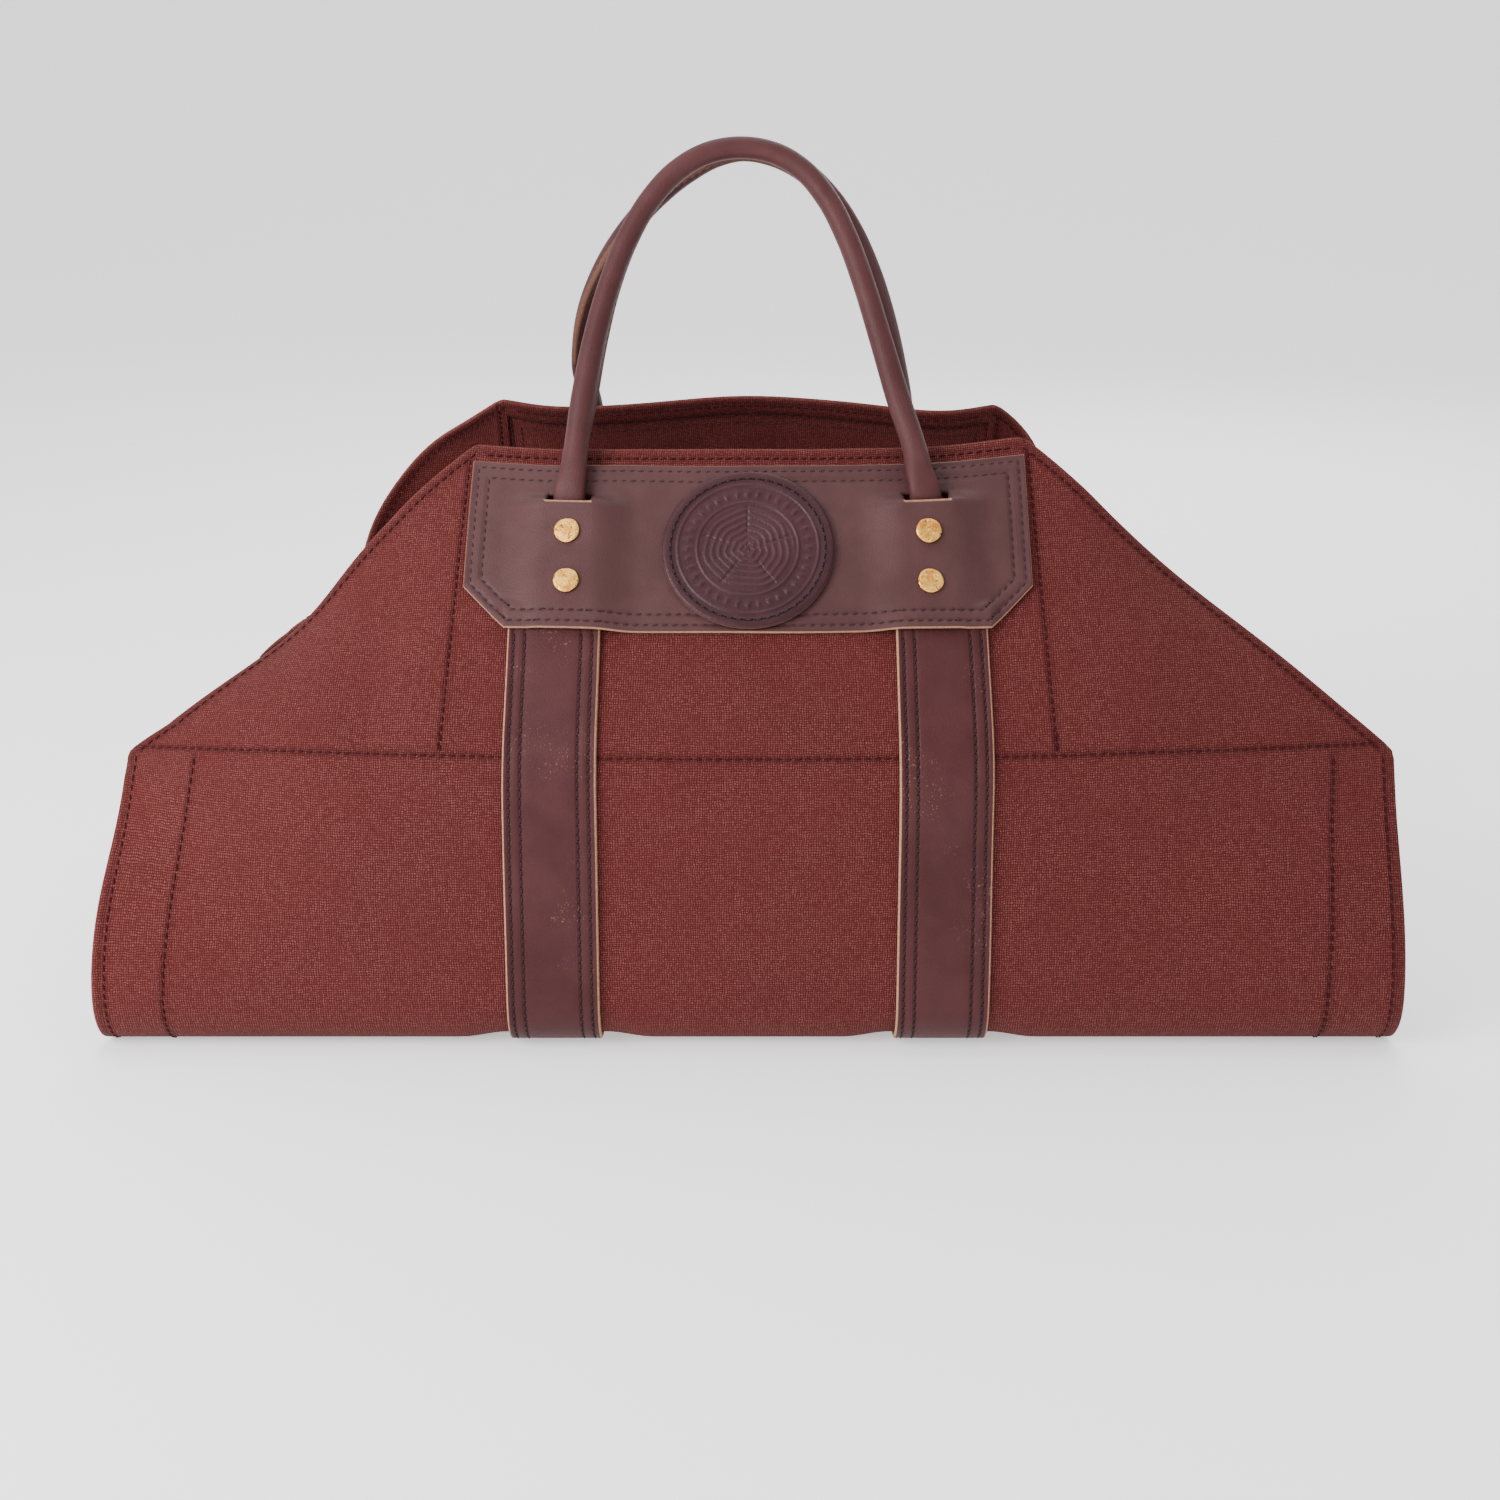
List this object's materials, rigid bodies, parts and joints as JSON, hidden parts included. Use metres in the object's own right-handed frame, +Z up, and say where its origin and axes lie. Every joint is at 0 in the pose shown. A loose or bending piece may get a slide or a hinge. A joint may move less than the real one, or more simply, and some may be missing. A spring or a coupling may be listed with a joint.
{
  "type": "canvas log carrier",
  "caption": "U-shaped canvas sling standing open on its base, with folded-in corners, leather plates and a badge, straps under the bottom and rolled leather handles.",
  "frame": {"origin": "on the floor under the middle of the carrier", "axes": "+X across the carrier along the logs it holds, to the right as seen from the front; the front with the badge faces -Y; +Z up"},
  "size_m": [0.635, 0.3504, 0.4337],
  "materials": {
    "canvas": "matt waxed duck canvas in dark red, with a plain weave",
    "plate_leather": "smooth oiled bridle leather in dark brown, with pale cut edges and two rows of stitches",
    "strap_leather": "smooth oiled bridle leather in dark brown, with pale cut edges and four rows of stitches",
    "handle_leather": "polished rolled leather in dark brown",
    "badge_leather": "embossed leather in dark red brown",
    "rivet_brass": "hammered, slightly dulled"
  },
  "bodies": {
    "root": {"canvas_sheet": "canvas", "handle_plate_front": "plate_leather", "handle_plate_back": "plate_leather", "strap_left": "strap_leather", "strap_right": "strap_leather", "handle_front": "handle_leather", "handle_back": "handle_leather", "round_badge": "badge_leather", "rivet_front_left_upper": "rivet_brass", "rivet_front_left_lower": "rivet_brass", "rivet_front_right_upper": "rivet_brass", "rivet_front_right_lower": "rivet_brass", "rivet_back_left_upper": "rivet_brass", "rivet_back_left_lower": "rivet_brass", "rivet_back_right_upper": "rivet_brass", "rivet_back_right_lower": "rivet_brass"}
  },
  "joints": []
}
